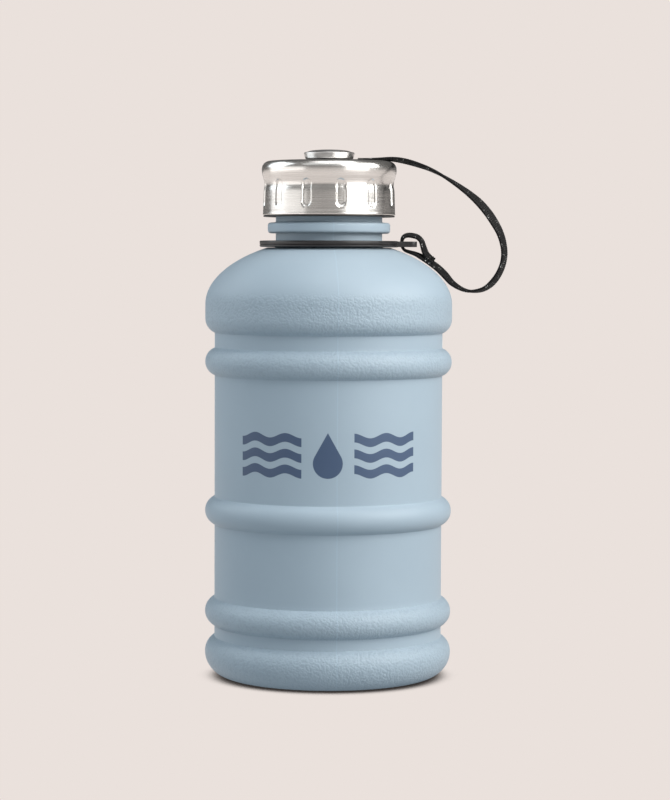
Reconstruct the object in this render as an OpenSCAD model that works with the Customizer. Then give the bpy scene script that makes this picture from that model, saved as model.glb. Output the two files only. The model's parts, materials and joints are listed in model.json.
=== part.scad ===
// Large water jug: ribbed blown body with a grip moulded into its back, steel screw cap with a
// swivelling centre post, and a webbing tether from that post to a loose ring on the neck.
// Millimetres, +Z up, origin at the middle of the base. The front is -Y and the grip is at +Y.

/* [Body] */
// Diameter over the raised rings
body_d = 130; // [116:1:156]
// Height from the base to the ledge that carries the tether ring
body_h = 226.1; // [188:0.1:272]
// Wall thickness of the blown body
wall = 1.6; // [1.2:0.1:2.2]

/* [Rings] */
// How far the rings stand out of the panels between them
ring_rise = 5; // [3.5:0.1:6]
// Radius of a ring's rounded section
ring_round = 7.7; // [7:0.1:9]
// Height of the lowest ring
low_ring_z = 34.4; // [32:0.1:40]
// Height of the middle ring
mid_ring_z = 87.7; // [80:0.1:92]
// Drop from the shoulder band to the highest ring
high_ring_drop = 22.7; // [20:0.1:26]
// Radius of the crease where a ring meets a panel
crease = 0.5; // [0.3:0.1:1]

/* [Shoulder] */
// Radius of the shoulder band's lower edge
band_round = 8.3; // [7:0.1:9]
// Height of the band's straight side
band_h = 7.4; // [4:0.1:12]
// Height of the dome above the band
dome_h = 29.8; // [24:0.1:34]

/* [Foot] */
// Radius of the foot's lower edge
foot_round = 13; // [10:0.1:15]
// Radius of the foot's upper edge
foot_top_round = 9; // [8:0.1:11]
// Width of the flat ring that the jug stands on
foot_flat = 6; // [4:0.1:10]
// Height of the pushed-up middle of the base
punt_h = 7; // [4:0.1:10]
// Width of the slope up to it
punt_slope = 10; // [6:0.1:14]

/* [Grip] */
// Width of the grip bar
bar_w = 28; // [24:0.5:32]
// Depth of the grip bar
bar_depth = 17.6; // [14.6:0.1:21.2]
// Corner radius of the bar's section
bar_round = 7.5; // [5:0.1:8]
// How far the bar's back lies inside the panel
bar_inset = 0.4; // [0.4:0.1:2]
// Room for the fingers between the bar and the body
finger_gap = 23; // [20:0.5:27]
// Edge radius of the recess in the body's back
recess_round = 14; // [12:0.5:16]
// Radius of the recess wall, seen from above
recess_sweep = 100; // [90:1:130]
// Space from the recess to the creases above and below it
recess_margin = 3; // [2.5:0.1:5]

/* [Neck] */
// Outer diameter of the neck
neck_d = 56; // [46:0.1:68]
// Height of the neck above the ledge
neck_h = 41.2; // [34:0.1:50]
// Wall thickness of the neck
neck_wall = 2.3; // [2:0.1:3]
// How far the bead that keeps the tether ring on stands out of the neck
bead_out = 4.2; // [3:0.1:4.8]
// Thickness of the bead
bead_h = 5.6; // [4:0.1:6]
// Height of the bead's underside above the ledge
bead_z = 7.5; // [6:0.1:8]

/* [Thread] */
// Number of thread starts
thread_starts = 2; // [1:1:2]
// Rise of the cap in one turn
thread_lead = 10; // [8:0.5:12]
// How far the thread stands out of the neck
thread_depth = 1.7; // [1.2:0.1:1.8]
// Width of the thread at its root
thread_w = 2.4; // [2:0.1:2.6]
// Angle that each start runs through
thread_sweep = 270; // [180:10:330]
// Height of the thread's lower end above the ledge
thread_z = 21; // [20:0.1:24]
// Clearance between neck and cap threads
thread_gap = 0.4; // [0.3:0.05:0.5]

/* [Cap] */
// Space from the neck to the outside of the cap's lower edge
cap_side = 6.75; // [6.5:0.05:10]
// Gap between the bead and the cap's rim
rim_gap = 3; // [1:0.1:4]
// Height of the cap's waist below its top
waist_drop = 12.8; // [11:0.1:14]
// How far the cap's waist is drawn in
waist_in = 0.85; // [0.4:0.05:1]
// How far the cap's bulge stands out past its lower edge
bulge_out = 0.65; // [0:0.05:1]
// Radius of the cap's top edge
cap_round = 4.1; // [3:0.1:5]
// Thickness of the steel
steel = 0.6; // [0.4:0.05:0.7]
// Thickness of the plastic rim under the steel
rim_h = 0.7; // [0.5:0.1:1]
// Thickness of the plastic top plate
plate_h = 1.9; // [1.6:0.1:2.4]
// Thickness of the gasket
gasket_h = 1.5; // [1.2:0.1:2]
// Number of pressed flutes
flutes = 12; // [6:1:14]
// Width of a flute
flute_w = 4.6; // [3:0.1:6]
// Space from the cap's rim to the flutes
flute_low = 5.1; // [4:0.1:8]
// Space from the flutes to the cap's top
flute_drop = 9.9; // [8:0.1:11]
// Depth of a flute
flute_depth = 0.8; // [0.4:0.1:0.9]

/* [Swivel] */
// Diameter of the button on top of the cap
button_d = 26.6; // [22:0.1:30]
// Height of the button
button_h = 5; // [4:0.1:6]
// Diameter of the post below the button
post_d = 8; // [6.6:0.1:10]
// Diameter of the washer under the cap's top plate
washer_d = 18; // [16:0.5:20]
// Thickness of that washer
washer_h = 1; // [0.8:0.1:1.2]
// Diameter of the clamping screw
screw_d = 3.8; // [3:0.1:4]
// Diameter of the bush's flange and of the tether's eye
eye_d = 17; // [15.5:0.1:20]
// Thickness of the tether's eye
eye_h = 0.75; // [0.6:0.05:1]

/* [Tether] */
// Width of the ring on the neck, seen from above
tether_w = 8.5; // [7.5:0.1:11]
// Thickness of the ring
tether_h = 3.3; // [2.8:0.1:4]
// How far the ring's tab reaches past its rim
tab_l = 9.7; // [9.7:0.1:12]
// Width of the tab
tab_w = 15; // [14:0.1:20]
// Width that the tab's slot has to spare round the webbing
slot_spare = 2.4; // [1.5:0.1:3]
// Width of the webbing
strap_w = 7; // [5.8:0.1:8]
// Thickness of the webbing
strap_h = 1.3; // [1:0.05:1.5]

/* [Hidden] */
$fn = 96;
fit_gap = 0.05;   // running clearance of the swivel, on each side
face_gap = 0.1;   // clearance between the flat faces that turn past each other
loose_gap = 0.3;  // clearance where a piece sits loosely

// Body
body_r = body_d / 2;
panel_r = body_r - ring_rise;
ring_c = body_r - ring_round;
band_c = body_r - band_round;
band_top = body_h - dome_h;
band_z = band_top - band_h;
high_ring_z = band_z - high_ring_drop;
neck_r = neck_d / 2;
bore_r = neck_r - neck_wall;
bead_r = neck_r + bead_out;
ledge_r = bead_r + loose_gap;
lip_z = body_h + neck_h;
dome_sweep = 55.4;
dome_a = (body_r - ledge_r) / (1 - cos(dome_sweep));
dome_b = dome_h / sin(dome_sweep);
dome_c = body_r - dome_a;

// Half the height of a ring or band between its creases
function rise_h(c, r) = sqrt(pow(r + crease, 2) - pow(panel_r + crease - c, 2));

// Grip
recess_low = mid_ring_z + rise_h(ring_c, ring_round) + recess_margin;
recess_top = band_z - rise_h(band_c, band_round) - recess_margin;
bar_out = panel_r - bar_inset;
bar_in = bar_out - bar_depth;
recess_y = bar_in - finger_gap;
bend_in = finger_gap - recess_round;
bend_lift = 0.4;

// Cap
cap_r = neck_r + cap_side;
cap_z = body_h + bead_z + bead_h + rim_gap;
plate_z = lip_z + face_gap + gasket_h;
plate_top = plate_z + plate_h;
cap_top = plate_top + steel;
shell_z = cap_z + rim_h;
waist_z = cap_top - waist_drop;
bulge_z = cap_top - cap_round;
waist_r = cap_r - waist_in;
bulge_r = cap_r + bulge_out;
edge_draw = 0.4;  // how far the side is drawn in from the lower edge to the waist's step
flute_h = cap_top - flute_drop - cap_z - flute_low;
flute_z = cap_z + flute_low + flute_h / 2;
flute_turn = -79.8;
flute_r = cap_r - 0.3 - flute_depth;
insert_r = flute_r - steel - 0.45;
root_r = neck_r + thread_depth + thread_gap;
crest_r = neck_r + thread_gap;
plug_r = bore_r - 1.3;
plug_wall = 1;
plug_h = 1.8;

// Thread
crest_share = 0.38;      // a thread's width at its crest, as a share of its width at the root
sunk = 0.3;              // how deep a thread's root is sunk into its wall
neck_thread_z = body_h + thread_z;
cap_thread_w = 0.85 * thread_w;
cap_thread_z = neck_thread_z - (1 + crest_share) / 2 * thread_w - thread_gap;

// Swivel
post_r = post_d / 2;
bush_r = post_r + 1.4;
eye_r = eye_d / 2;
flange_h = 0.3;
eye_z = cap_top + flange_h + fit_gap;
button_z = eye_z + eye_h + fit_gap;
boss_z = plate_z - 0.6;
boss_r = washer_d / 2 + 3;
washer_top = boss_z - face_gap;
washer_z = washer_top - washer_h;
seal_r = bush_r + 1.4;
seal_t = 0.6;
screw_r = screw_d / 2;
screw_head_r = 4.5;
screw_head_h = 2;

// Tether
tether_r = neck_r + tether_w;
tether_z = body_h + loose_gap;
tether_top = tether_z + tether_h;
tab_x = tether_r + tab_l;
slot_w = 2 * strap_h + 1;
slot_l = strap_w + slot_spare;
slot_x = tether_r + 0.15 + slot_w / 2;

// Points of the webbing's middle line, each [x, y, z, twist]: out from the eye, round the free
// loop, up through the tab's slot, over its bar and back to where the end is sewn down
strap_route = [
    [15, 0, 272.4, 0], [20, 0, 272.4, 0], [26.5, 0, 272.6, -2], [32, 0, 272.7, -8],
    [37, 0, 272.2, -13], [42, -0.5, 271.1, -14], [47, -0.5, 269.6, -11], [52, -1, 267.8, -6],
    [57.5, -1, 265.2, 0], [63, -1.5, 262, 8], [68.5, -2, 258.4, 16], [74, -2.5, 254.3, 25],
    [79, -3, 249.8, 34], [83.5, -3, 244.6, 37], [87, -3, 239.4, 36], [89.8, -3, 234.2, 31],
    [91.6, -2.5, 228.6, 27], [92.2, -2.5, 223, 25], [91.4, -2, 217.6, 24], [89.2, -2, 212.4, 25],
    [86, -1.5, 208, 24], [81.8, -1.5, 204.8, 15], [77.2, -1, 203.6, 6], [72.6, -1, 203.8, -4],
    [68.4, -0.5, 205.5, -13], [64.6, 0, 208.2, -22], [61.3, 0, 211.9, -28], [57.6, 0, 215.5, -27],
    [53.4, 0, 218.6, -24], [49.4, 0, 221.1, -20], [45.6, 0, 223, -11], [42.2, 0, 224.1, -5],
    [39.9, 0, 225, -2], [38.7, 0, 226.6, 0], [38.4, 0, 228.4, 0], [38.5, 0, 230.3, 3],
    [39.3, 0, 231.9, 8], [41.2, 0, 232.8, 12], [43.8, 0, 232.7, 15], [46.6, 0, 231.9, 16],
    [48.6, 0, 230, 17], [49.5, 0, 227.6, 20], [50.2, 0, 225.3, 23], [51.2, 0, 223, 24],
    [53.2, 0, 220.8, 24], [55.2, 0, 219.2, 24]];

// The tongue of the eye reaches out to where the webbing starts
tongue_x = strap_route[0][0];

// Points along a circular arc
function arc(c, r, from, to, steps = 8) =
    [for (i = [0:steps]) let (a = from + (to - from) * i / steps) c + r * [cos(a), sin(a)]];

// Closed outline of a rectangle from a to b with rounded corners
function round_rect(a, b, r) = concat(
    arc([a[0] + r, a[1] + r], r, 180, 270), arc([b[0] - r, a[1] + r], r, 270, 360),
    arc([b[0] - r, b[1] - r], r, 0, 90), arc([a[0] + r, b[1] - r], r, 90, 180));

// A ring's section, with its creases, at depth d under the surface
function ring_points(z, d) =
    let (h = rise_h(ring_c, ring_round), lean = atan2(h, panel_r + crease - ring_c))
    concat(
        arc([panel_r + crease, z - h], crease + d, 180, 180 - lean, 3),
        arc([ring_c, z], ring_round - d, -lean, lean, 10),
        arc([panel_r + crease, z + h], crease + d, 180 + lean, 180, 3));

// The foot, from the middle of the base to the crease above it
function foot_points(d) =
    let (
        c = body_r - foot_top_round, h = rise_h(c, foot_top_round),
        lean = atan2(h, panel_r + crease - c),
        tread = body_r - foot_round)
    concat(
        [[0, punt_h + d], [tread - foot_flat - punt_slope - d / 3, punt_h + d],
            [tread - foot_flat + d / 3, d]],
        arc([tread, foot_round], foot_round - d, -90, 0),
        arc([c, foot_round], foot_top_round - d, 0, lean, 6),
        arc([panel_r + crease, foot_round + h], crease + d, 180 + lean, 180, 3));

// The shoulder, from the crease under its band to the ledge
function shoulder_points(d) =
    let (h = rise_h(band_c, band_round), lean = atan2(h, panel_r + crease - band_c))
    concat(
        arc([panel_r + crease, band_z - h], crease + d, 180, 180 - lean, 3),
        arc([band_c, band_z], band_round - d, -lean, 0, 6),
        [for (i = [0:14])
            let (a = dome_sweep * i / 14, n = [cos(a) / dome_a, sin(a) / dome_b])
            [dome_c + dome_a * cos(a), band_top + dome_b * sin(a)] - d * n / norm(n)]);

function body_points(d) = concat(
    foot_points(d), ring_points(low_ring_z, d), ring_points(mid_ring_z, d),
    ring_points(high_ring_z, d), shoulder_points(d));

// The neck's outside, from the ledge to the lip
function neck_points() =
    let (low = body_h + bead_z, top = body_h + bead_z + bead_h, r = 1.5)
    concat(
        [[neck_r, body_h], [neck_r, low]],
        arc([bead_r - r, low + r], r, -90, 0, 4), arc([bead_r - r, top - r], r, 0, 90, 4),
        [[neck_r, top], [neck_r, lip_z - 0.8], [neck_r - 0.8, lip_z], [0, lip_z]]);

// The whole blown shape at depth d under the surface, before the recess is pushed in
module blown_shape(d) {
    rotate_extrude()
        polygon(d == 0 ? concat(body_points(0), neck_points())
            : concat(body_points(d), [[bore_r + d, body_h - d - 0.3], [bore_r, body_h + 0.2],
                [bore_r, lip_z + 1], [0, lip_z + 1]]));
}

// The recess that the hand goes into, grown by d
module recess(d) {
    r = recess_round + d;
    edge = recess_sweep - recess_round;
    translate([0, recess_y + recess_sweep, 0])
        rotate_extrude()
            polygon(concat([[0, recess_low - d]],
                arc([edge, recess_low + recess_round], r, -90, 0),
                arc([edge, recess_top - recess_round], r, 0, 90),
                [[0, recess_top + d]]));
}

// One end of the grip bar, where it bends into the body
module bar_bend(d) {
    translate([0, bar_in - bend_in, recess_top - bend_in + bend_lift])
        rotate([90, 0, 90])
            rotate_extrude(angle = 90)
                polygon(round_rect([bend_in + d, d - bar_w / 2],
                    [bend_in + bar_depth - d, bar_w / 2 - d], bar_round - d));
}

// The grip bar, shrunk by d
module grip_bar(d) {
    overlap = recess_margin - bend_lift;
    translate([0, 0, recess_low - overlap])
        linear_extrude(recess_top - recess_low + 2 * overlap)
            polygon(round_rect([d - bar_w / 2, bar_in + d], [bar_w / 2 - d, bar_out - d],
                bar_round - d));
    bar_bend(d);
    translate([0, 0, recess_low + recess_top])
        mirror([0, 0, 1])
            bar_bend(d);
}

module body_shape(d) {
    difference() {
        blown_shape(d);
        recess(d);
    }
    grip_bar(d);
}

// A helical ridge from radius root to radius crest, which runs out at both ends
module thread_ridge(root, crest, z, width) {
    steps = thread_sweep / 10;
    side = sign(crest - root);
    corners = [[-1, 0], [-1, 1], [1, 1], [1, 0]];
    points = [for (i = [0:steps]) let (
            a = i * 10,
            depth = (crest - root) * min(1, 0.15 + i / 2, 0.15 + (steps - i) / 2))
        for (c = corners) let (
            r = c[1] == 0 ? root - side * sunk : root + depth,
            h = (c[1] == 0 ? 1 : crest_share) * width / 2 * c[0] * side)
        [r * cos(a), r * sin(a), z + thread_lead * a / 360 + h]];
    faces = concat(
        [[3, 2, 1, 0]],
        [for (i = [0:steps - 1]) for (j = [0:3])
            [4 * i + j, 4 * i + (j + 1) % 4, 4 * i + 4 + (j + 1) % 4, 4 * i + 4 + j]],
        [[for (j = [0:3]) 4 * steps + j]]);
    for (s = [0:thread_starts - 1])
        rotate([0, 0, 360 * s / thread_starts])
            polyhedron(points, faces);
}

module bottle_body() {
    color([0.68, 0.76, 0.82]) {
        difference() {
            body_shape(0);
            body_shape(wall);
        }
        thread_ridge(neck_r, neck_r + thread_depth, neck_thread_z, thread_w);
    }
}

// Loose ring between the ledge and the bead, with a slotted tab for the webbing
module neck_ring() {
    color([0.12, 0.11, 0.12])
        difference() {
            union() {
                rotate_extrude()
                    polygon(concat([[neck_r - 1, tether_z]],
                        arc([tether_r - 0.6, tether_z + 0.6], 0.6, -90, 0, 4),
                        [[tether_r, tether_z + 1], [tether_r - 0.35, tether_z + 1.25],
                            [tether_r, tether_z + 1.5]],
                        arc([tether_r - 0.6, tether_top - 0.6], 0.6, 0, 90, 4),
                        [[neck_r - 1, tether_top]]));
                translate([0, 0, tether_z + 0.2])
                    linear_extrude(tether_h - 0.4)
                        polygon(round_rect([neck_r + 4, -tab_w / 2], [tab_x, tab_w / 2], 3));
            }
            translate([0, 0, tether_z - 1])
                cylinder(h = tether_h + 2, r = neck_r + loose_gap);
            translate([0, 0, tether_z - 1])
                linear_extrude(tether_h + 2)
                    polygon(round_rect([slot_x - slot_w / 2, -slot_l / 2],
                        [slot_x + slot_w / 2, slot_l / 2], 0.8));
        }
}

// Outline of the cap's side and top edge, at depth d under its surface
function cap_points(d) = concat(
    [[cap_r - d, shell_z], [cap_r - edge_draw - d, waist_z - 1.6],
        [waist_r + 0.05 - d, waist_z - 0.9]],
    [for (i = [0:8]) let (t = i / 8)
        [waist_r + (bulge_r - waist_r) * (1 - cos(180 * t)) / 2 - d,
            waist_z + (bulge_z - 0.6 - waist_z) * t]],
    arc([bulge_r - cap_round, bulge_z], cap_round - d, 0, 90));

// One flute, a stadium seen from the side, grown by d, from radius r outwards
module flute(d, r, depth) {
    w = flute_w / 2;
    h = flute_h / 2 - w;
    translate([r, 0, flute_z])
        rotate([90, 0, 90])
            linear_extrude(depth)
                polygon(concat(arc([0, h], w + d, 0, 180), arc([0, -h], w + d, 180, 360)));
}

module each_flute() {
    for (i = [0:flutes - 1])
        rotate([0, 0, flute_turn + 360 / flutes * i])
            children();
}

module cap_shell() {
    color([0.78, 0.77, 0.75])
        difference() {
            union() {
                rotate_extrude()
                    polygon(concat(cap_points(0), [[bush_r + fit_gap, cap_top]],
                        [[bush_r + fit_gap, plate_top]],
                        [for (i = [len(cap_points(steel)) - 1:-1:0]) cap_points(steel)[i]]));
                each_flute()
                    flute(steel, flute_r - steel, flute_depth + steel / 2);
            }
            each_flute()
                flute(0, flute_r, 4);
        }
}

module cap_insert() {
    color([0.1, 0.1, 0.1])
        difference() {
            union() {
                rotate_extrude()
                    polygon([[root_r, cap_z], [cap_r - 0.2, cap_z], [cap_r - 0.2, shell_z],
                        [insert_r, shell_z], [insert_r, plate_top - 2.8],
                        [insert_r - 2, plate_top], [bush_r + fit_gap, plate_top],
                        [bush_r + fit_gap, boss_z], [boss_r, boss_z], [boss_r + 0.6, plate_z],
                        [plug_r - plug_wall, plate_z], [plug_r - plug_wall, lip_z - plug_h],
                        [plug_r, lip_z - plug_h], [plug_r, plate_z], [root_r, plate_z]]);
                thread_ridge(root_r, crest_r, cap_thread_z, cap_thread_w);
            }
            rotate_extrude()
                polygon([[seal_r - seal_t - 0.1, boss_z - 1], [seal_r + seal_t + 0.1, boss_z - 1],
                    [seal_r + seal_t + 0.1, boss_z + 2 * seal_t + 0.1],
                    [seal_r - seal_t - 0.1, boss_z + 2 * seal_t + 0.1]]);
        }
}

module cap_gasket() {
    color([0.85, 0.86, 0.87])
        rotate_extrude()
            translate([bore_r - 1.1, plate_z - gasket_h])
                square([root_r - 0.2 - (bore_r - 1.1), gasket_h]);
}

// Flanged bush that lets the cap turn on the post
module swivel_bush() {
    color([0.9, 0.9, 0.88])
        rotate_extrude()
            polygon([[post_r + fit_gap, boss_z], [bush_r, boss_z], [bush_r, cap_top],
                [eye_r, cap_top], [eye_r, cap_top + flange_h],
                [post_r + fit_gap, cap_top + flange_h]]);
}

// Seal between the top plate and the washer
module post_seal() {
    color([0.75, 0.35, 0.2])
        rotate_extrude()
            translate([seal_r, boss_z + seal_t])
                circle(r = seal_t, $fn = 32);
}

// Button and its hollow post, in one turned piece
module cap_button() {
    r = button_d / 2;
    top = button_z + button_h;
    color([0.72, 0.71, 0.69])
        difference() {
            rotate_extrude()
                polygon(concat(
                    [[0, washer_top], [post_r, washer_top], [post_r, button_z]],
                    arc([r - 1.5, button_z + 1], 1, -90, -15, 4),
                    arc([r - 0.6, button_z + 2.9], 0.6, 0, 60, 3),
                    [[r - 3, top - 0.7], [r - 6, top - 0.3], [0, top]]));
            translate([0, 0, washer_top - 1])
                cylinder(h = button_z - washer_top + 2, r = screw_r + fit_gap, $fn = 48);
        }
}

module back_washer() {
    color([0.7, 0.7, 0.7])
        translate([0, 0, washer_z])
            difference() {
                cylinder(h = washer_h, d = washer_d);
                translate([0, 0, -1])
                    cylinder(h = washer_h + 2, r = screw_r + fit_gap, $fn = 48);
            }
}

// Screw up into the post, which clamps the washer against the post's end
module clamp_screw() {
    slot = 1;
    color([0.7, 0.7, 0.7])
        difference() {
            rotate_extrude()
                polygon([[0, washer_z - screw_head_h], [screw_head_r - 0.8, washer_z - screw_head_h],
                    [screw_head_r, washer_z - screw_head_h + 0.8], [screw_head_r, washer_z],
                    [screw_r, washer_z], [screw_r, button_z], [0, button_z]]);
            translate([-screw_head_r - 1, -slot / 2, washer_z - screw_head_h - 1])
                cube([2 * screw_head_r + 2, slot, 2]);
        }
}

// Pressed end of the webbing, with the hole that the post goes through
module strap_eye() {
    color([0.09, 0.09, 0.09])
        translate([0, 0, eye_z])
            difference() {
                union() {
                    cylinder(h = eye_h, r = eye_r);
                    translate([0, -strap_w / 2, 0])
                        cube([tongue_x, strap_w, eye_h]);
                }
                translate([0, 0, -1])
                    cylinder(h = eye_h + 2, r = post_r + fit_gap);
            }
}

function place(p) = [p[0], p[1], p[2]];
function unit(v) = v / norm(v);

// Direction of the route at point i
function heading(i) =
    let (last = len(strap_route) - 1)
    unit(place(strap_route[min(i + 1, last)]) - place(strap_route[max(i - 1, 0)]));

// The webbing's width direction at point i: across, turned about the route by the twist
function width_way(i) =
    let (
        t = heading(i),
        across = unit([0, 1, 0] - t[1] * t),
        a = strap_route[i][3])
    across * cos(a) + cross(t, across) * sin(a);

module tether_strap() {
    w = strap_w / 2;
    h = strap_h / 2;
    section = [[w, -h / 2], [w, h / 2], [w - 0.4, h], [0.4 - w, h],
        [-w, h / 2], [-w, -h / 2], [0.4 - w, -h], [w - 0.4, -h]];
    last = len(strap_route) - 1;
    points = [for (i = [0:last])
        let (across = width_way(i), up = cross(heading(i), across))
        for (s = section) place(strap_route[i]) + s[0] * across + s[1] * up];
    faces = concat(
        [[for (j = [0:7]) j]],
        [for (i = [0:last - 1]) for (j = [0:7])
            [8 * i + 8 + j, 8 * i + 8 + (j + 1) % 8, 8 * i + (j + 1) % 8, 8 * i + j]],
        [[for (j = [7:-1:0]) 8 * last + j]]);
    color([0.09, 0.09, 0.09])
        polyhedron(points, faces, convexity = 6);
}

// Bar tacks across the sewn end of the webbing
module strap_stitching() {
    last = len(strap_route) - 1;
    a = place(strap_route[last - 1]);
    b = place(strap_route[last]);
    t = unit(b - a);
    across = width_way(last);
    up = cross(t, across);
    size = [0.7, strap_w - 1.6, 0.3];
    lean = atan2(-t[2], t[0]);
    color([0.2, 0.2, 0.2])
        for (share = [0.35, 0.75])
            translate(a + (b - a) * share + up * (strap_h / 2 + size[2] / 2 + face_gap))
                rotate([strap_route[last][3], lean, 0])
                    cube(size, center = true);
}

bottle_body();
neck_ring();
cap_shell();
cap_insert();
cap_gasket();
swivel_bush();
post_seal();
cap_button();
back_washer();
clamp_screw();
strap_eye();
tether_strap();
strap_stitching();
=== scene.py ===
import json
import math

import bpy
import numpy as np
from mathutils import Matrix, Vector

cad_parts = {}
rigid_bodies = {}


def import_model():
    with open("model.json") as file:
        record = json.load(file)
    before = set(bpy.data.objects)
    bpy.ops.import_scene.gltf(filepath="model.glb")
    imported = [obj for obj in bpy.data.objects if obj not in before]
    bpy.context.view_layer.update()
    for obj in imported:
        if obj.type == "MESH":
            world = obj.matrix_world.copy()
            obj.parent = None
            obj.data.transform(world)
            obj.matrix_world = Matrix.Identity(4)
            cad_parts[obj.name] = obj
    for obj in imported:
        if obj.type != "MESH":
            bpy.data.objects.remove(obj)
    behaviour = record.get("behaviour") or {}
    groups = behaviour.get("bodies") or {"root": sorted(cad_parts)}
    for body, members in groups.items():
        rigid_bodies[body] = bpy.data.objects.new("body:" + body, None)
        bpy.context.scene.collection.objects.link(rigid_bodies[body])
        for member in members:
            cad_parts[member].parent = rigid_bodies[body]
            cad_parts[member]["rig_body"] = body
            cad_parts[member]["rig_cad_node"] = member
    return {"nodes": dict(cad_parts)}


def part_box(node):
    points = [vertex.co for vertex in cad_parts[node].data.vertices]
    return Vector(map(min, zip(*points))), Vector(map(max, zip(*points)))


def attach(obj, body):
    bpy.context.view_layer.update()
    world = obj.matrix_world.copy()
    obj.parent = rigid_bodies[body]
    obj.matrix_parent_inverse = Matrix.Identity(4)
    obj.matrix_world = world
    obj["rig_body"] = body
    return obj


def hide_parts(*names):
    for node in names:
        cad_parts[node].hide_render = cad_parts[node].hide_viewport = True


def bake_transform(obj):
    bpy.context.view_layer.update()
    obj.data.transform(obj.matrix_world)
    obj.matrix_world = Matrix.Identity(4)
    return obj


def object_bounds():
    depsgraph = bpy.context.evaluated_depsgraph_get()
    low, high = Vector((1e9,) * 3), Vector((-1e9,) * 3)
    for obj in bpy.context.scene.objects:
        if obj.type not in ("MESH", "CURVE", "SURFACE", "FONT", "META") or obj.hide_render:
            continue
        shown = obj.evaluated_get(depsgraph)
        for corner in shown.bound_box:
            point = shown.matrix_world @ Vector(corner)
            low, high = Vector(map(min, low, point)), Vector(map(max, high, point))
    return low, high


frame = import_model()
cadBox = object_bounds()
mm = 0.001

# camera, light and floor

cameraSettings = {
    "distance": 1.334,
    "height": 0.2204,
    "sideways": 0.0035,
    "pitchDown": 3.2,
    "roll": 0.22,
    "lens": 113.8,
}

stageSettings = {
    "paper": (0.823, 0.753, 0.716),   # what the camera sees behind the jug
    "bounce": (0.40, 0.45, 0.49),
    "floorRadius": 25,
    "floorDrop": 0.0002,
    # painted contact shadow on the floor: its colour, how far it reaches and how it fades
    "paintedContactShadow": (0.035, 0.030, 0.028),
    "paintedShadowReach": 0.022,
    "paintedShadowFade": (0.10, 0.60),
    "frontAmbient": 0.28,
    "backAmbient": 0.12,
    "ambientFade": (-0.6, 0.75),
    "fill": (0.66, 0.86, 1.04),
    "mirrored": (1.0, 0.96, 0.92),
}

# name: azimuth, elevation, distance, size, power and colour
studioLights = {
    "key": (62, 33, 1.2, (1.3, 0.8), 15.8, (1.0, 0.99, 0.97)),
    "right strip": (49, 7, 1.0, (0.8, 0.34), 1.0, (1.0, 0.98, 0.96)),
    "left strip": (-80, 7, 1.0, (1.6, 0.34), 1.6, (1.0, 0.98, 0.96)),
    "rim reflector": (-105, 33, 1.0, (0.8, 0.7), 3.4, (0.9, 0.96, 1.0)),
    "front top": (0, 54, 1.2, (1.7, 0.45), 1.9, (0.97, 0.99, 1.0)),
    "overhead": (30, 78, 1.2, (0.9, 0.7), 3.4, (1.0, 0.99, 0.98)),
}


def addCamera(settings):
    bpy.ops.object.camera_add(
        location=(settings["sideways"], -settings["distance"], settings["height"]),
        rotation=(math.radians(90 - settings["pitchDown"]), 0, 0))
    camera = bpy.context.object
    camera.data.lens = settings["lens"]
    camera.data.sensor_width = 36
    camera.rotation_euler.rotate_axis("Z", math.radians(settings["roll"]))
    camera.data.clip_end = 60
    bpy.context.scene.camera = camera


def addSoftLight(name, azimuth, elevation, distance, size, power, colour):
    # azimuth 0 is on the camera's side and 90 to its right
    a, e = math.radians(azimuth), math.radians(elevation)
    toLight = Vector((math.sin(a) * math.cos(e), -math.cos(a) * math.cos(e), math.sin(e)))
    middle = Vector((0, 0, cadBox[1].z / 2))
    bpy.ops.object.light_add(type="AREA", location=middle + toLight * distance)
    light = bpy.context.object
    light.name = name
    light.rotation_euler = toLight.to_track_quat("Z", "Y").to_euler()
    light.data.shape = "RECTANGLE"
    light.data.size, light.data.size_y = size
    light.data.energy = power
    light.data.color = colour


def newTree(owner):
    owner.use_nodes = True
    tree = owner.node_tree
    tree.nodes.clear()
    return tree


def addNode(tree, kind, inputs=None, **settings):
    node = tree.nodes.new(kind)
    for key, value in settings.items():
        setattr(node, key, value)
    for key, value in (inputs or {}).items():
        if isinstance(value, bpy.types.NodeSocket):
            tree.links.new(value, node.inputs[key])
        else:
            node.inputs[key].default_value = value
    return node


def math1(tree, operation, a, b=None):
    inputs = {0: a} if b is None else {0: a, 1: b}
    return addNode(tree, "ShaderNodeMath", inputs, operation=operation).outputs[0]


def times(tree, a, b):
    return math1(tree, "MULTIPLY", a, b)


def plus(tree, a, b):
    return math1(tree, "ADD", a, b)


def minus(tree, a, b):
    return math1(tree, "SUBTRACT", a, b)


def sizeOf(tree, a):
    return math1(tree, "ABSOLUTE", a)


def vectorMath(tree, operation, a, b):
    return addNode(tree, "ShaderNodeVectorMath", {0: a, 1: b}, operation=operation).outputs[0]


def axesOf(tree, vector):
    return addNode(tree, "ShaderNodeSeparateXYZ", {0: vector}).outputs


def noise(tree, vector, scale, detail, roughness=0.5):
    return addNode(tree, "ShaderNodeTexNoise", {
        "Vector": vector, "Scale": scale, "Detail": detail, "Roughness": roughness}).outputs


def rampBetween(tree, value, low, high, toLow=0.0, toHigh=1.0):
    node = addNode(tree, "ShaderNodeMapRange", {"Value": value}, interpolation_type="SMOOTHSTEP")
    for key, number in (("From Min", low), ("From Max", high), ("To Min", toLow), ("To Max", toHigh)):
        node.inputs[key].default_value = number
    return node.outputs["Result"]


def mixColours(tree, factor, a, b):
    node = addNode(tree, "ShaderNodeMix", {"Factor": factor}, data_type="RGBA")
    for socket, value in ((node.inputs[6], a), (node.inputs[7], b)):
        if isinstance(value, bpy.types.NodeSocket):
            tree.links.new(value, socket)
        else:
            socket.default_value = (*value, 1)
    return node.outputs[2]


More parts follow.
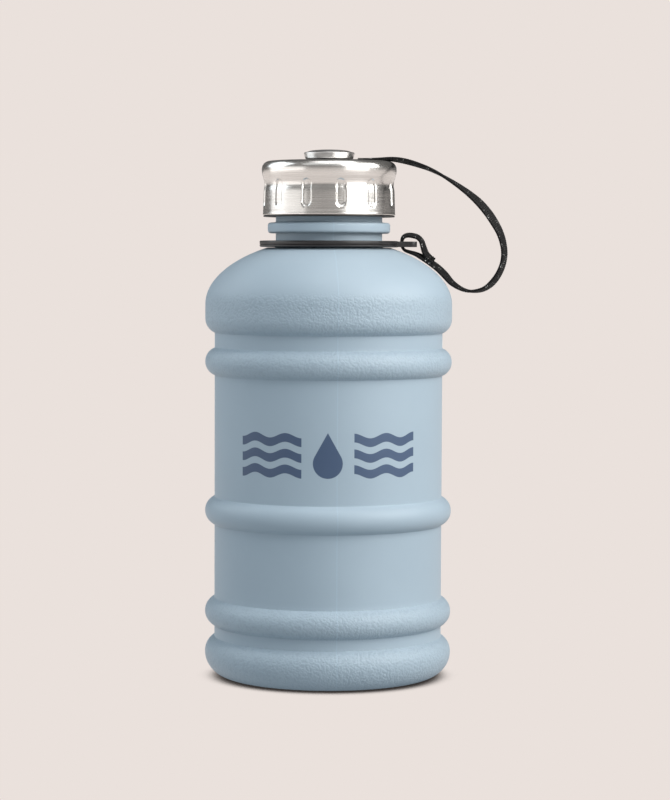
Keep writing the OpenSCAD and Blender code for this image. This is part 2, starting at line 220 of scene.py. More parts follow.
def addWorld(settings):
    world = bpy.data.worlds.new("studio")
    bpy.context.scene.world = world
    tree = newTree(world)
    seen = addNode(tree, "ShaderNodeBackground", {"Color": (*settings["paper"], 1), "Strength": 1.0})
    place = addNode(tree, "ShaderNodeTexCoord")
    axes = axesOf(tree, place.outputs["Generated"])
    strength = rampBetween(tree, axes["Y"], *settings["ambientFade"],
                           settings["frontAmbient"], settings["backAmbient"])
    path = addNode(tree, "ShaderNodeLightPath")
    # cool where it fills the shadows, warm where the steel mirrors it
    fill = mixColours(tree, path.outputs["Is Glossy Ray"], settings["fill"], settings["mirrored"])
    lit = addNode(tree, "ShaderNodeBackground", {"Color": fill, "Strength": strength})
    mix = addNode(tree, "ShaderNodeMixShader",
                  {0: path.outputs["Is Camera Ray"], 1: lit.outputs[0], 2: seen.outputs[0]})
    addNode(tree, "ShaderNodeOutputWorld", {"Surface": mix.outputs[0]})


def addFloor(settings):
    bpy.ops.mesh.primitive_circle_add(vertices=96, radius=settings["floorRadius"], fill_type="NGON",
                                      location=(0, 0, -settings["floorDrop"]))
    floor = bpy.context.object
    floor.name = "floor"
    material = bpy.data.materials.new("pale floor")
    tree = newTree(material)
    # painted contact shadow: where ambient occlusion finds the jug close, the paper's glow is darkened
    close = addNode(tree, "ShaderNodeAmbientOcclusion",
                    {"Distance": settings["paintedShadowReach"]}, samples=12)
    shade = rampBetween(tree, close.outputs["AO"], *settings["paintedShadowFade"])
    seen = mixColours(tree, shade, settings["paintedContactShadow"], settings["paper"])
    path = addNode(tree, "ShaderNodeLightPath")
    # the camera and the steel see the paper with its painted contact shadow; what it throws back on the jug
    # is weaker and cooler
    sees = math1(tree, "MAXIMUM", path.outputs["Is Camera Ray"], path.outputs["Is Glossy Ray"])
    colour = mixColours(tree, sees, settings["bounce"], seen)
    glow = addNode(tree, "ShaderNodeEmission", {"Color": colour, "Strength": 1.0})
    addNode(tree, "ShaderNodeOutputMaterial", {"Surface": glow.outputs[0]})
    floor.data.materials.append(material)


def addStudio():
    bpy.context.scene.view_settings.view_transform = "Standard"
    addCamera(cameraSettings)
    addWorld(stageSettings)
    addFloor(stageSettings)
    for name, light in studioLights.items():
        addSoftLight(name, *light)
    print("studio ready")


addStudio()

# small helpers

tolerances = {"merge": 0.000002, "nodeMerge": 0.000005, "flatDegrees": 0.6}
softEdge = {"segments": 2, "sharpDegrees": 32, "shadeDegrees": 42}


def deselectAll():
    if bpy.context.object and bpy.context.object.mode != "OBJECT":
        bpy.ops.object.mode_set(mode="OBJECT")
    bpy.ops.object.select_all(action="DESELECT")


def makeActive(piece):
    deselectAll()
    piece.hide_set(False)
    piece.select_set(True)
    bpy.context.view_layer.objects.active = piece


def editOn(piece):
    makeActive(piece)
    bpy.ops.object.mode_set(mode="EDIT")
    bpy.ops.mesh.select_mode(type="VERT")
    bpy.ops.mesh.select_all(action="SELECT")


def editOff():
    bpy.ops.object.mode_set(mode="OBJECT")


def cleanUp(piece):
    editOn(piece)
    bpy.ops.mesh.remove_doubles(threshold=tolerances["merge"])
    bpy.ops.mesh.normals_make_consistent(inside=False)
    editOff()


def readPoints(piece):
    flat = np.zeros(len(piece.data.vertices) * 3)
    piece.data.vertices.foreach_get("co", flat)
    return flat.reshape(-1, 3)


def writePoints(piece, points):
    piece.data.vertices.foreach_set("co", points.astype(np.float32).ravel())
    piece.data.update()


def applyModifiers(piece):
    makeActive(piece)
    for modifier in list(piece.modifiers):
        bpy.ops.object.modifier_apply(modifier=modifier.name)


def smoothShade(piece, degrees):
    makeActive(piece)
    bpy.ops.object.shade_smooth_by_angle(angle=math.radians(degrees))


def settle(piece, body, slotName, material, *nodes):
    makeActive(piece)
    bpy.ops.object.transform_apply(location=True, rotation=True, scale=True)
    piece.data.materials.clear()
    piece.data.materials.append(material)
    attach(piece, body)
    if nodes:
        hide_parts(*nodes)


def spinOutline(name, outline, steps):
    # a ring of vertices is laid on the outline and then spun about the jug's axis
    deselectAll()
    bpy.ops.mesh.primitive_circle_add(vertices=len(outline), radius=0.01, fill_type="NOTHING")
    piece = bpy.context.object
    piece.name = name
    writePoints(piece, np.array([(r, 0, z) for r, z in outline]))
    editOn(piece)
    bpy.ops.mesh.spin(steps=steps, angle=math.tau, center=(0, 0, 0), axis=(0, 0, 1))
    editOff()
    cleanUp(piece)
    return piece


def roundCorner(centre, radius, fromDegrees, toDegrees, steps):
    angles = [math.radians(fromDegrees + (toDegrees - fromDegrees) * i / steps)
              for i in range(steps + 1)]
    return [(centre[0] + radius * math.cos(a), centre[1] + radius * math.sin(a)) for a in angles]


def smoothStep(x):
    x = np.clip(x, 0, 1)
    return x * x * (3 - 2 * x)


def copyOfNode(node, name):
    # the node's own mesh stays as it is; the copy gets merged corners
    deselectAll()
    piece = frame["nodes"][node].copy()
    piece.data = frame["nodes"][node].data.copy()
    piece.name = name
    piece.parent = None
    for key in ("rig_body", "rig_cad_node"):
        if key in piece:
            del piece[key]
    bpy.context.scene.collection.objects.link(piece)
    makeActive(piece)
    if piece.data.has_custom_normals:
        bpy.ops.mesh.customdata_custom_splitnormals_clear()
    editOn(piece)
    bpy.ops.mesh.remove_doubles(threshold=tolerances["nodeMerge"])
    bpy.ops.mesh.dissolve_limited(angle_limit=math.radians(tolerances["flatDegrees"]))
    editOff()
    return piece


def softenEdges(piece, width):
    bevel = piece.modifiers.new("soft edges", "BEVEL")
    bevel.width = width
    bevel.segments = softEdge["segments"]
    bevel.limit_method = "ANGLE"
    bevel.angle_limit = math.radians(softEdge["sharpDegrees"])
    bevel.harden_normals = False
    applyModifiers(piece)
    smoothShade(piece, softEdge["shadeDegrees"])


# shared effects: node groups that put out masks and heights

def newGroup(name, inputs, outputs):
    group = bpy.data.node_groups.new(name, "ShaderNodeTree")
    for label, kind, value in inputs:
        socket = group.interface.new_socket(label, in_out="INPUT", socket_type=kind)
        if value is not None:
            socket.default_value = value
    for label, kind in outputs:
        group.interface.new_socket(label, in_out="OUTPUT", socket_type=kind)
    given, out = group.nodes.new("NodeGroupInput"), group.nodes.new("NodeGroupOutput")
    return group, given.outputs, out.inputs


def mouldedGrain():
    # pebbled leather grain: cells with rounded tops and a finer noise on them
    group, given, out = newGroup(
        "moulded grain",
        [("Vector", "NodeSocketVector", None), ("Size", "NodeSocketFloat", 0.001)],
        [("Height", "NodeSocketFloat"), ("Valleys", "NodeSocketFloat")])
    scaled = vectorMath(group, "DIVIDE", given["Vector"], given["Size"])
    bend = noise(group, scaled, 0.55, 2.0)
    swirl = addNode(group, "ShaderNodeVectorMath",
                    {0: bend["Color"], 1: (1.6, 1.6, 1.6), 2: scaled},
                    operation="MULTIPLY_ADD")
    cells = addNode(group, "ShaderNodeTexVoronoi", {"Vector": swirl.outputs[0], "Scale": 0.72},
                    feature="SMOOTH_F1")
    fine = noise(group, swirl.outputs[0], 2.2, 3.0)
    tops = rampBetween(group, cells.outputs["Distance"], 0.12, 0.72, 1.0, 0.0)
    height = plus(group, tops, times(group, fine[0], 0.35))
    group.links.new(height, out["Height"])
    group.links.new(rampBetween(group, tops, 0.0, 0.35, 1.0, 0.0), out["Valleys"])
    return group


def handlingWear():
    # broad soft patches and small specks that break up an even finish
    group, given, out = newGroup(
        "handling wear",
        [("Vector", "NodeSocketVector", None), ("Patch Size", "NodeSocketFloat", 0.03)],
        [("Patches", "NodeSocketFloat"), ("Specks", "NodeSocketFloat")])
    scaled = vectorMath(group, "DIVIDE", given["Vector"], given["Patch Size"])
    broad = noise(group, scaled, 1.0, 4.0, 0.6)
    specks = noise(group, scaled, 34.0, 2.0)
    group.links.new(rampBetween(group, broad[0], 0.3, 0.7), out["Patches"])
    group.links.new(rampBetween(group, specks[0], 0.66, 0.78), out["Specks"])
    return group


def turnedLines():
    # fine lines round the axis, as left by a brush held against a spinning part
    group, given, out = newGroup(
        "turned lines",
        [("Vector", "NodeSocketVector", None), ("Fineness", "NodeSocketFloat", 1.0)],
        [("Lines", "NodeSocketFloat"), ("Streaks", "NodeSocketFloat")])
    axes = axesOf(group, given["Vector"])
    radius = vectorMath(group, "MULTIPLY", given["Vector"], (1, 1, 0))
    length = addNode(group, "ShaderNodeVectorMath", {0: radius}, operation="LENGTH")
    turn = math1(group, "ARCTAN2", axes["Y"], axes["X"])
    across = addNode(group, "ShaderNodeCombineXYZ", {
        "X": times(group, turn, 1.1),
        "Y": times(group, length.outputs["Value"], 5200),
        "Z": times(group, axes["Z"], 5200)})
    scaled = vectorMath(group, "MULTIPLY", across.outputs[0], given["Fineness"])
    group.links.new(noise(group, scaled, 1.0, 4.0)[0], out["Lines"])
    group.links.new(noise(group, scaled, 0.16, 3.0)[0], out["Streaks"])
    return group


grainGroup = mouldedGrain()
wearGroup = handlingWear()
linesGroup = turnedLines()


def useGroup(tree, group, **inputs):
    node = addNode(tree, "ShaderNodeGroup", node_tree=group)
    for label, value in inputs.items():
        socket = node.inputs[label.replace("_", " ")]
        if isinstance(value, bpy.types.NodeSocket):
            tree.links.new(value, socket)
        else:
            socket.default_value = value
    return node.outputs


def startMaterial(name, **settings):
    material = bpy.data.materials.new(name)
    tree = newTree(material)
    shader = addNode(tree, "ShaderNodeBsdfPrincipled", settings)
    addNode(tree, "ShaderNodeOutputMaterial", {"Surface": shader.outputs[0]})
    return material, tree, shader, addNode(tree, "ShaderNodeTexCoord").outputs


def addBump(tree, shader, height, distance, strength=1.0):
    bump = addNode(tree, "ShaderNodeBump",
                   {"Height": height, "Distance": distance, "Strength": strength})
    tree.links.new(bump.outputs[0], shader.inputs["Normal"])


# body: a blown shell with its recess, grip bar and neck; every length in millimetres

bodyShape = {
    "radius": 65, "panel": 60, "crease": 0.5, "wall": 1.6,
    "ringCentre": 57.3, "ringRound": 7.7, "rings": (34.4, 87.7, 166.2),
    "bandCentre": 56.7, "bandRound": 8.3, "bandLow": 188.9, "bandTop": 196.3,
    "domeHeight": 29.8, "domeSweep": 55.4, "ledge": 32.5,
    "footRound": 13, "footTopRound": 9, "footFlat": 6, "punt": 7, "puntSlope": 10,
    "neck": 28, "bore": 25.7, "bead": 32.2, "beadLow": 233.6, "beadTop": 239.2, "beadRound": 1.5,
    "lip": 267.3, "neckHeight": 41.2, "neckStraight": 40.6, "boreHeight": 41,
    "threadZ": 247.1, "threadLead": 10, "threadDepth": 1.7, "threadWidth": 2.4, "threadSweep": 270,
    "recessMargin": 3, "recessSweep": 100, "recessRound": 14, "recessY": 19,
    "recessDraft": 0.6, "lipRound": 2.5, "sideRound": 6,
    "recessZone": (80, 186), "skinTop": 225, "skinIn": 40,
    "recessRows": (-2.5, -2.1, -1.7, -1.3, -0.9, -0.5, -0.2, 0, 0.15, 0.3, 0.45, 0.6, 0.9, 1.3, 1.8,
                   2.5, 3.3, 4.2, 5.2, 6.4, 7.7, 9.2, 11, 13),
    "barWidth": 28, "barDepth": 17.6, "barRound": 7.5, "barOut": 59.6,
    "barSunk": 0.4, "barFlare": 0.22, "flareLost": 0.45, "flareKept": 0.55, "flareFade": 0.22,
    "columns": 190,
}

# points closer than the shortest step are left out; only a climbing stretch takes asked heights
rowRules = {"shortest": 0.02, "climb": 0.3, "clear": 0.05}


def riseOf(shape, centre, radius):
    return math.sqrt((radius + shape["crease"]) ** 2 - (shape["panel"] + shape["crease"] - centre) ** 2)


def ringOutline(shape, z, centre, radius, depth, steps, onlyLower=False):
    # crease, round and crease again, or only the lower half of that
    edge, rise = shape["panel"] + shape["crease"], riseOf(shape, centre, radius)
    lean = math.degrees(math.atan2(rise, edge - centre))
    outline = roundCorner((edge, z - rise), shape["crease"] + depth, 180, 180 - lean, 3)
    if onlyLower:
        return outline + roundCorner((centre, z), radius - depth, -lean, 0, steps)
    outline += roundCorner((centre, z), radius - depth, -lean, lean, steps)
    return outline + roundCorner((edge, z + rise), shape["crease"] + depth, 180 + lean, 180, 3)


def skinOutline(shape, depth):
    # from the middle of the base up to the ledge, at a depth under the surface
    centre = shape["radius"] - shape["footTopRound"]
    edge, rise = shape["panel"] + shape["crease"], riseOf(shape, centre, shape["footTopRound"])
    lean = math.degrees(math.atan2(rise, edge - centre))
    tread = shape["radius"] - shape["footRound"]
    punt, flat = tread - shape["footFlat"] - shape["puntSlope"], tread - shape["footFlat"]
    outline = [(0, shape["punt"] + depth), (punt * 0.5, shape["punt"] + depth),
               (punt - 2 - depth / 3, shape["punt"] + depth),
               (punt - depth / 3, shape["punt"] - 0.4 + depth),
               (flat - 1.5 + depth / 3, 0.5 + depth), (flat + depth / 3, depth)]
    outline += roundCorner((tread, shape["footRound"]), shape["footRound"] - depth, -90, 0, 14)
    outline += roundCorner((centre, shape["footRound"]), shape["footTopRound"] - depth, 0, lean, 8)
    outline += roundCorner((edge, shape["footRound"] + rise), shape["crease"] + depth, 180 + lean, 180, 3)
    for z in shape["rings"]:
        outline += ringOutline(shape, z, shape["ringCentre"], shape["ringRound"], depth, 14)
    outline += ringOutline(shape, shape["bandLow"], shape["bandCentre"], shape["bandRound"], depth, 8, True)
    sweep = math.radians(shape["domeSweep"])
    across = (shape["radius"] - shape["ledge"]) / (1 - math.cos(sweep))
    upward = shape["domeHeight"] / math.sin(sweep)
    for i in range(25):
        a = sweep * i / 24
        slope = Vector((math.cos(a) / across, math.sin(a) / upward)).normalized()
        outline.append((shape["radius"] - across + across * math.cos(a) - depth * slope.x,
                        shape["bandTop"] + upward * math.sin(a) - depth * slope.y))
    return outline


def addRows(outline, heights, longest):
    # more points where the outline is long and straight or where a height is asked for
    full, clear = [outline[0]], rowRules["clear"]
    for point in outline[1:]:
        last = full[-1]
        length, rise = math.dist(last, point), point[1] - last[1]
        if length < rowRules["shortest"]:
            continue
        parts = math.ceil(length / longest)
        wanted = {i / parts for i in range(1, parts)}
        if rise > rowRules["climb"]:
            wanted |= {(z - last[1]) / rise for z in heights
                       if last[1] + clear < z < point[1] - clear}
        full += [(last[0] + (point[0] - last[0]) * t, last[1] + rise * t) for t in sorted(wanted)]
        full.append(point)
    return full


def recessEnds(shape):
    ring = riseOf(shape, shape["ringCentre"], shape["ringRound"])
    band = riseOf(shape, shape["bandCentre"], shape["bandRound"])
    return (shape["rings"][1] + ring + shape["recessMargin"],
            shape["bandLow"] - band - shape["recessMargin"])


def pushRecess(shape, points, depth):
    # presses the back of the skin in to the wall of the hand's recess
    x, y, z = points.T
    low, top = recessEnds(shape)
    inward = np.minimum(z - low, top - z) + depth
    corner = shape["recessRound"] + depth
    edge = shape["recessSweep"] - shape["recessRound"]
    centre = shape["recessY"] + shape["recessSweep"]

    def pressed(radius):
        wall = centre - np.sqrt(np.maximum(radius ** 2 - x ** 2, 0))
        blend = np.clip(shape["sideRound"] - np.abs(y - wall), 0, None) / shape["sideRound"]
        return y - (np.minimum(y, wall) - blend ** 2 * shape["sideRound"] / 4)

    deep = pressed(edge + np.sqrt(corner ** 2 - np.clip(corner - inward, 0, corner) ** 2))
    lip = np.minimum(shape["lipRound"], pressed(edge) / 2)
    onLip = lip - np.sqrt(np.maximum(lip ** 2 - np.clip(inward + lip, 0, None) ** 2, 0))
    onDraft = lip + (deep - lip) * np.clip(inward / shape["recessDraft"], 0, 1)
    drop = np.where(inward <= -lip, 0, np.where(inward < 0, onLip, onDraft))
    drop = np.where((y > 0) & (deep > 0), drop, 0)
    moved = points.copy()
    moved[:, 1] = y - drop
    return moved


def bodySkin(shape):
    low, top = recessEnds(shape)
    heights = [low + s for s in shape["recessRows"]] + [top - s for s in shape["recessRows"]]
    neckOut, lip, bead = shape["neck"], shape["lip"], shape["beadRound"]
    neck = [(neckOut + 0.6, lip - shape["neckHeight"]), (neckOut, lip - shape["neckStraight"]),
            (neckOut, shape["beadLow"])]
    neck += roundCorner((shape["bead"] - bead, shape["beadLow"] + bead), bead, -90, 0, 5)
    neck += roundCorner((shape["bead"] - bead, shape["beadTop"] - bead), bead, 0, 90, 5)
    neck += [(neckOut + 0.5, shape["beadTop"]), (neckOut, shape["beadTop"] + 0.5)]
    neck += roundCorner((neckOut - 0.8, lip - 0.8), 0.8, 0, 90, 4)
    neck += roundCorner((shape["bore"] + 0.6, lip - 0.6), 0.6, 90, 180, 3)
    outer = addRows(skinOutline(shape, 0) + neck, heights, 3)
    wall, middle = shape["wall"], (low + top) / 2
    bore = [(shape["bore"] + wall, lip - shape["neckHeight"] - wall),
            (shape["bore"], lip - shape["boreHeight"])]
    inner = addRows(skinOutline(shape, wall) + bore,
                    [z - wall if z < middle else z + wall for z in heights], 8)
    outline = outer + inner[::-1]
    piece = spinOutline("bottle_shell", [(r * mm, z * mm) for r, z in outline], shape["columns"])
    # the inner skin is told apart by how far it lies inside the outer one
    points = readPoints(piece) / mm
    radius, z = np.hypot(points[:, 0], points[:, 1]), points[:, 2]
    rows = np.array([p for p in outer if p[1] < shape["skinTop"] and p[0] > shape["skinIn"]])
    outside = np.interp(z, rows[:, 1], rows[:, 0]) - radius < wall * 0.45
    zoneLow, zoneTop = shape["recessZone"]
    inZone = (z > zoneLow) & (z < zoneTop) & (points[:, 1] > 0)
    for chosen, depth in ((outside & inZone, 0), (~outside & inZone, wall)):
        points[chosen] = pushRecess(shape, points[chosen], depth)
    writePoints(piece, points * mm)
    return piece


def loftSections(name, sections):
    # closed skin over rings of points that all have the same count
    count = len(sections[0])
    faces = [tuple(reversed(range(count)))]
    for i in range(len(sections) - 1):
        for j in range(count):
            k = (j + 1) % count
            faces.append((i * count + j, i * count + k, (i + 1) * count + k, (i + 1) * count + j))
    last = (len(sections) - 1) * count
    faces.append(tuple(range(last, last + count)))
    mesh = bpy.data.meshes.new(name)
    mesh.from_pydata([tuple(float(v) for v in p) for section in sections for p in section], [], faces)
    piece = bpy.data.objects.new(name, mesh)
    bpy.context.scene.collection.objects.link(piece)
    editOn(piece)
    bpy.ops.mesh.normals_make_consistent(inside=False)
    editOff()
    return piece


def gripBar(shape):
    low, top = recessEnds(shape)
    barIn = shape["barOut"] - shape["barDepth"]
    bend = barIn - shape["recessY"] - shape["recessRound"]
    centreY, r, half = barIn - bend, shape["barRound"], shape["barWidth"] / 2
    outline = []
    for cx, cy, start in ((half - r, shape["barDepth"] - r, 0), (r - half, shape["barDepth"] - r, 90),
                          (r - half, r, 180), (half - r, r, 270)):
        outline += roundCorner((cx, cy), r, start, start + 90, 8)
    sections = []

    def addSection(angle, z, flare):
        c, s = math.cos(angle), math.sin(angle)
        sections.append([(x * (1 + flare) * mm, (centreY + (bend + y) * c) * mm,
                          (z + (bend + y) * s) * mm) for x, y in outline])

    lowZ, topZ = low + bend - shape["barSunk"], top - bend + shape["barSunk"]
    most, lost, kept, fade = (shape[key] for key in ("barFlare", "flareLost", "flareKept", "flareFade"))
    bendSteps, straightSteps = 14, 24
    for i in range(bendSteps):
        addSection(-math.pi / 2 * (1 - i / bendSteps), lowZ, most * (1 - lost * i / bendSteps))
    for i in range(straightSteps + 1):
        t = i / straightSteps
        ends = smoothStep((fade - min(t, 1 - t)) / fade)
        addSection(0, lowZ + (topZ - lowZ) * t, most * kept * float(ends))
    for i in range(1, bendSteps + 1):
        addSection(math.pi / 2 * i / bendSteps, topZ, most * (kept + lost * i / bendSteps))
    return loftSections("grip", sections)


def neckThread(shape, turn):
    # one start of the thread, with a run-out at both ends
    sections, stepDegrees, half = [], 5, shape["threadWidth"] / 2
    steps = shape["threadSweep"] // stepDegrees
    for i in range(steps + 1):
        a = math.radians(stepDegrees * i + turn)
        depth = shape["threadDepth"] * min(1, 0.1 + i / 5, 0.1 + (steps - i) / 5)
        z = shape["threadZ"] + shape["threadLead"] * stepDegrees * i / 360
        profile = [(-0.4, -half), (depth - 0.3, -half * 0.45), (depth, -half * 0.2),
                   (depth, half * 0.2), (depth - 0.3, half * 0.45), (-0.4, half)]
        sections.append([((shape["neck"] + out) * math.cos(a) * mm,
                          (shape["neck"] + out) * math.sin(a) * mm,
                          (z + up) * mm) for out, up in profile])
    return loftSections("thread", sections)


def joinSolid(piece, other):
    union = piece.modifiers.new("join", "BOOLEAN")
    union.operation = "UNION"
    union.solver = "MANIFOLD"
    union.object = other
    applyModifiers(piece)
    bpy.data.objects.remove(other)


# where the grain is moulded in, as heights in millimetres: start, full, full, end
grainZones = (
    (179.5, 182.5, 199, 204), (157.5, 160.5, 172, 175.5),
    (25.5, 28.5, 40, 43.5), (-9, -8, 19.5, 23),
)

printShape = {
    "middle": 120.6, "dropRadius": 7.6, "dropTip": 132.4, "dropBase": 109.2,
    "barStart": 13.5, "barEnd": 49, "barPitch": 8, "barHalf": 2.25, "wave": 1.25, "waveLength": 17.7,
    "tickAzimuth": -89.2, "tickLow": 58, "tickPitch": 13.4, "tickCount": 8,
    "tickHalf": 3.0, "tickExtra": 2.2, "tickEdge": (0.35, 0.5),
    "partingTurn": 4.5, "partingEdge": (0.0001, 0.00045), "inkEdge": 0.12, "cutEdge": 0.1,
}


def bandMask(tree, value, start, full, leave, end):
    return times(tree, rampBetween(tree, value, start, full),
                 rampBetween(tree, value, leave, end, 1.0, 0.0))


def frontPrint(shape):
    # masks of the printed drop and wavy bars, of the volume ticks and of the mould's parting line
    group, given, out = newGroup(
        "front print", [("Vector", "NodeSocketVector", None)],
        [("Ink", "NodeSocketFloat"), ("Ticks", "NodeSocketFloat"), ("Parting", "NodeSocketFloat"),
         ("Height", "NodeSocketFloat")])

    def below(value, limit, soft):
        return rampBetween(group, value, limit - soft, limit + soft, 1.0, 0.0)

    def between(value, low, high, soft):
        return bandMask(group, value, low - soft, low + soft, high - soft, high + soft)

    inkEdge, cutEdge = shape["inkEdge"], shape["cutEdge"]
    axes = axesOf(group, given["Vector"])
    x, y = axes["X"], axes["Y"]
    z = times(group, axes["Z"], 1 / mm)
    azimuth = math1(group, "ARCTAN2", x, times(group, y, -1))
    along = times(group, azimuth, bodyShape["panel"])
    side = sizeOf(group, along)
    # drop: a round part and a tip that touches it
    radius = shape["dropRadius"]
    centre = shape["dropBase"] + radius
    lean = math.asin(radius / (shape["dropTip"] - centre))
    shoulder = centre + radius * math.sin(lean)
    up = minus(group, z, centre)
    away = math1(group, "SQRT", plus(group, times(group, along, along), times(group, up, up)))
    roundPart = below(away, radius, inkEdge)
    reach = times(group, minus(group, shape["dropTip"], z), math.tan(lean))
    tip = times(group, below(minus(group, side, reach), 0, inkEdge),
                rampBetween(group, z, shoulder - 0.2, shoulder))
    ink = math1(group, "MAXIMUM", roundPart, tip)
    # wavy bars: three rows, cut off square
    phase = times(group, along, math.tau / shape["waveLength"])
    wave = times(group, math1(group, "SINE", phase), shape["wave"])
    level = minus(group, plus(group, z, wave), shape["middle"])
    row = math1(group, "ROUND", math1(group, "DIVIDE", level, shape["barPitch"]))
    within = sizeOf(group, minus(group, level, times(group, row, shape["barPitch"])))
    bars = times(group, below(within, shape["barHalf"], inkEdge), below(sizeOf(group, row), 1.5, cutEdge))
    bars = times(group, bars, between(side, shape["barStart"], shape["barEnd"], cutEdge))
    group.links.new(math1(group, "MAXIMUM", ink, bars), out["Ink"])
    # ticks up one side, every second one longer
    turn = minus(group, times(group, azimuth, 180 / math.pi), shape["tickAzimuth"])
    step = math1(group, "DIVIDE", minus(group, z, shape["tickLow"]), shape["tickPitch"])
    number = math1(group, "ROUND", step)
    offset = times(group, sizeOf(group, minus(group, step, number)), shape["tickPitch"])
    odd = math1(group, "FLOORED_MODULO", number, 2.0)
    reach = plus(group, times(group, odd, shape["tickExtra"]), shape["tickHalf"])
    past = minus(group, sizeOf(group, turn), reach)
    ticks = times(group, rampBetween(group, offset, *shape["tickEdge"], 1.0, 0.0),
                  below(past, 0, cutEdge))
    ticks = times(group, ticks, between(number, -0.5, shape["tickCount"] - 0.5, cutEdge))
    group.links.new(ticks, out["Ticks"])
    # parting line, on the front and opposite
    seam = math.radians(shape["partingTurn"])
    off = sizeOf(group, plus(group, times(group, x, math.cos(seam)), times(group, y, math.sin(seam))))
    group.links.new(rampBetween(group, off, *shape["partingEdge"], 1.0, 0.0), out["Parting"])
    group.links.new(z, out["Height"])
    return group


printGroup = frontPrint(printShape)

bodyLook = {
    "blue": ((0.376, 0.458, 0.520), (0.392, 0.476, 0.538)),
    # painted shade: a darker blue for the valleys of the grain
    "paintedValleyShade": (0.30, 0.37, 0.43), "paintedValleyShadeShare": 0.35,
    "seam": (0.46, 0.59, 0.68), "seamShare": 0.28, "seamHeight": 0.16,
    "ink": ((0.062, 0.098, 0.172), (0.072, 0.110, 0.188)), "tickShare": 0.8, "inkHeight": 0.06,
    "rough": (0.46, 0.52), "inkRough": -0.06, "speckRough": 0.06,
    "patchSize": 0.045, "grainSize": 0.00082, "fineScale": 2600.0, "fineHeight": 0.05,
    "bumpHeight": 0.24 * mm, "bumpStrength": 0.66,
}


def bodyMaterial(look):
    material, tree, shader, place = startMaterial(
        "blue moulded plastic", **{"Specular IOR Level": 0.42})
    marks = useGroup(tree, printGroup, Vector=place["Object"])
    wear = useGroup(tree, wearGroup, Vector=place["Object"], Patch_Size=look["patchSize"])
    grain = useGroup(tree, grainGroup, Vector=place["Object"], Size=look["grainSize"])
    height = marks["Height"]
    zones = None
    for zone in grainZones:
        mask = bandMask(tree, height, *zone)
        zones = mask if zones is None else math1(tree, "MAXIMUM", zones, mask)
    blue = mixColours(tree, wear["Patches"], *look["blue"])
    # painted shade: the blue is darkened in the grain's valleys wherever the grain is moulded in
    paintedValleyShade = times(tree, grain["Valleys"], times(tree, zones, look["paintedValleyShadeShare"]))
    paintedValleyShaded = mixColours(tree, paintedValleyShade, blue, look["paintedValleyShade"])
    seamed = mixColours(tree, times(tree, marks["Parting"], look["seamShare"]), paintedValleyShaded, look["seam"])
    inkPatch = mixColours(tree, wear["Patches"], *look["ink"])
    ink = math1(tree, "MAXIMUM", marks["Ink"], times(tree, marks["Ticks"], look["tickShare"]))
    tree.links.new(mixColours(tree, ink, seamed, inkPatch), shader.inputs["Base Color"])
    rough = rampBetween(tree, wear["Patches"], 0.0, 1.0, *look["rough"])
    rough = plus(tree, rough, times(tree, ink, look["inkRough"]))
    rough = plus(tree, rough, times(tree, wear["Specks"], look["speckRough"]))
    tree.links.new(rough, shader.inputs["Roughness"])
    fine = noise(tree, place["Object"], look["fineScale"], 2.0)
    relief = times(tree, grain["Height"], zones)
    for value, share in ((fine[0], "fineHeight"), (marks["Parting"], "seamHeight"),
                         (ink, "inkHeight")):
        relief = plus(tree, relief, times(tree, value, look[share]))
    addBump(tree, shader, relief, look["bumpHeight"], look["bumpStrength"])
    return material


def makeBody(shape):
    body = bodySkin(shape)
    joinSolid(body, gripBar(shape))
    for turn in (0, 180):
        joinSolid(body, neckThread(shape, turn))
    cleanUp(body)
    smoothShade(body, 33)
    settle(body, "bottle", "body_blue", bodyMaterial(bodyLook), "bottle_body")
    print("body", len(body.data.polygons), "faces")


makeBody(bodyShape)

# steel cap: a thin pressed shell with flutes

capShape = {
    "edge": 34.75, "bottom": 242.9, "draw": 0.4, "waist": 33.9, "waistZ": 258.6, "bulge": 35.4,
    "bulgeZ": 267.3, "round": 4.1, "top": 271.4, "steel": 0.6, "hole": 5.45,
    "flutes": 12, "fluteTurn": -79.8, "fluteWidth": 4.6, "fluteHeight": 14.2, "fluteZ": 254.4,
    "fluteDepth": 0.8, "fluteEdge": 0.75, "fluteOutside": 31, "columns": 480,
    "rim": ((0, 0.25), (0.08, 0.6), (-0.02, 1.1)),      # out from the edge, up from the bottom
    "waistSteps": 12,
}


def capOutline(shape, depth):
    edge, waist, waistZ = shape["edge"], shape["waist"], shape["waistZ"]
    outline = [(edge + out - depth, shape["bottom"] + up) for out, up in shape["rim"]]
    outline += [(edge - shape["draw"] * 0.8 - depth, waistZ - 4),
                (edge - shape["draw"] - depth, waistZ - 2.6),
                (waist + 0.25 - depth, waistZ - 1.5), (waist + 0.08 - depth, waistZ - 0.8)]
    for i in range(shape["waistSteps"] + 1):
        t = i / shape["waistSteps"]
        swell = (shape["bulge"] - waist) * (1 - math.cos(math.pi * t)) / 2
        outline.append((waist + swell - depth, waistZ + (shape["bulgeZ"] - 0.6 - waistZ) * t))
    centre = (shape["bulge"] - shape["round"], shape["bulgeZ"])
    return outline + roundCorner(centre, shape["round"] - depth, 0, 90, 14)


def pressFlutes(shape, points):
    radius = np.hypot(points[:, 0], points[:, 1])
    degrees = np.degrees(np.arctan2(points[:, 1], points[:, 0]))
    pitch = 360 / shape["flutes"]
    turn = (degrees - shape["fluteTurn"] + pitch / 2) % pitch - pitch / 2
    across = np.radians(turn) * shape["edge"]
    half = shape["fluteHeight"] / 2 - shape["fluteWidth"] / 2
    along = np.abs(points[:, 2] - shape["fluteZ"]) - half
    away = np.hypot(across, np.maximum(along, 0)) - shape["fluteWidth"] / 2
    drop = shape["fluteDepth"] * smoothStep((shape["fluteEdge"] / 2 - away) / shape["fluteEdge"])
    drop = np.where(radius > shape["fluteOutside"], drop, 0)
    points[:, :2] *= ((radius - drop) / np.maximum(radius, 1))[:, None]
    return points


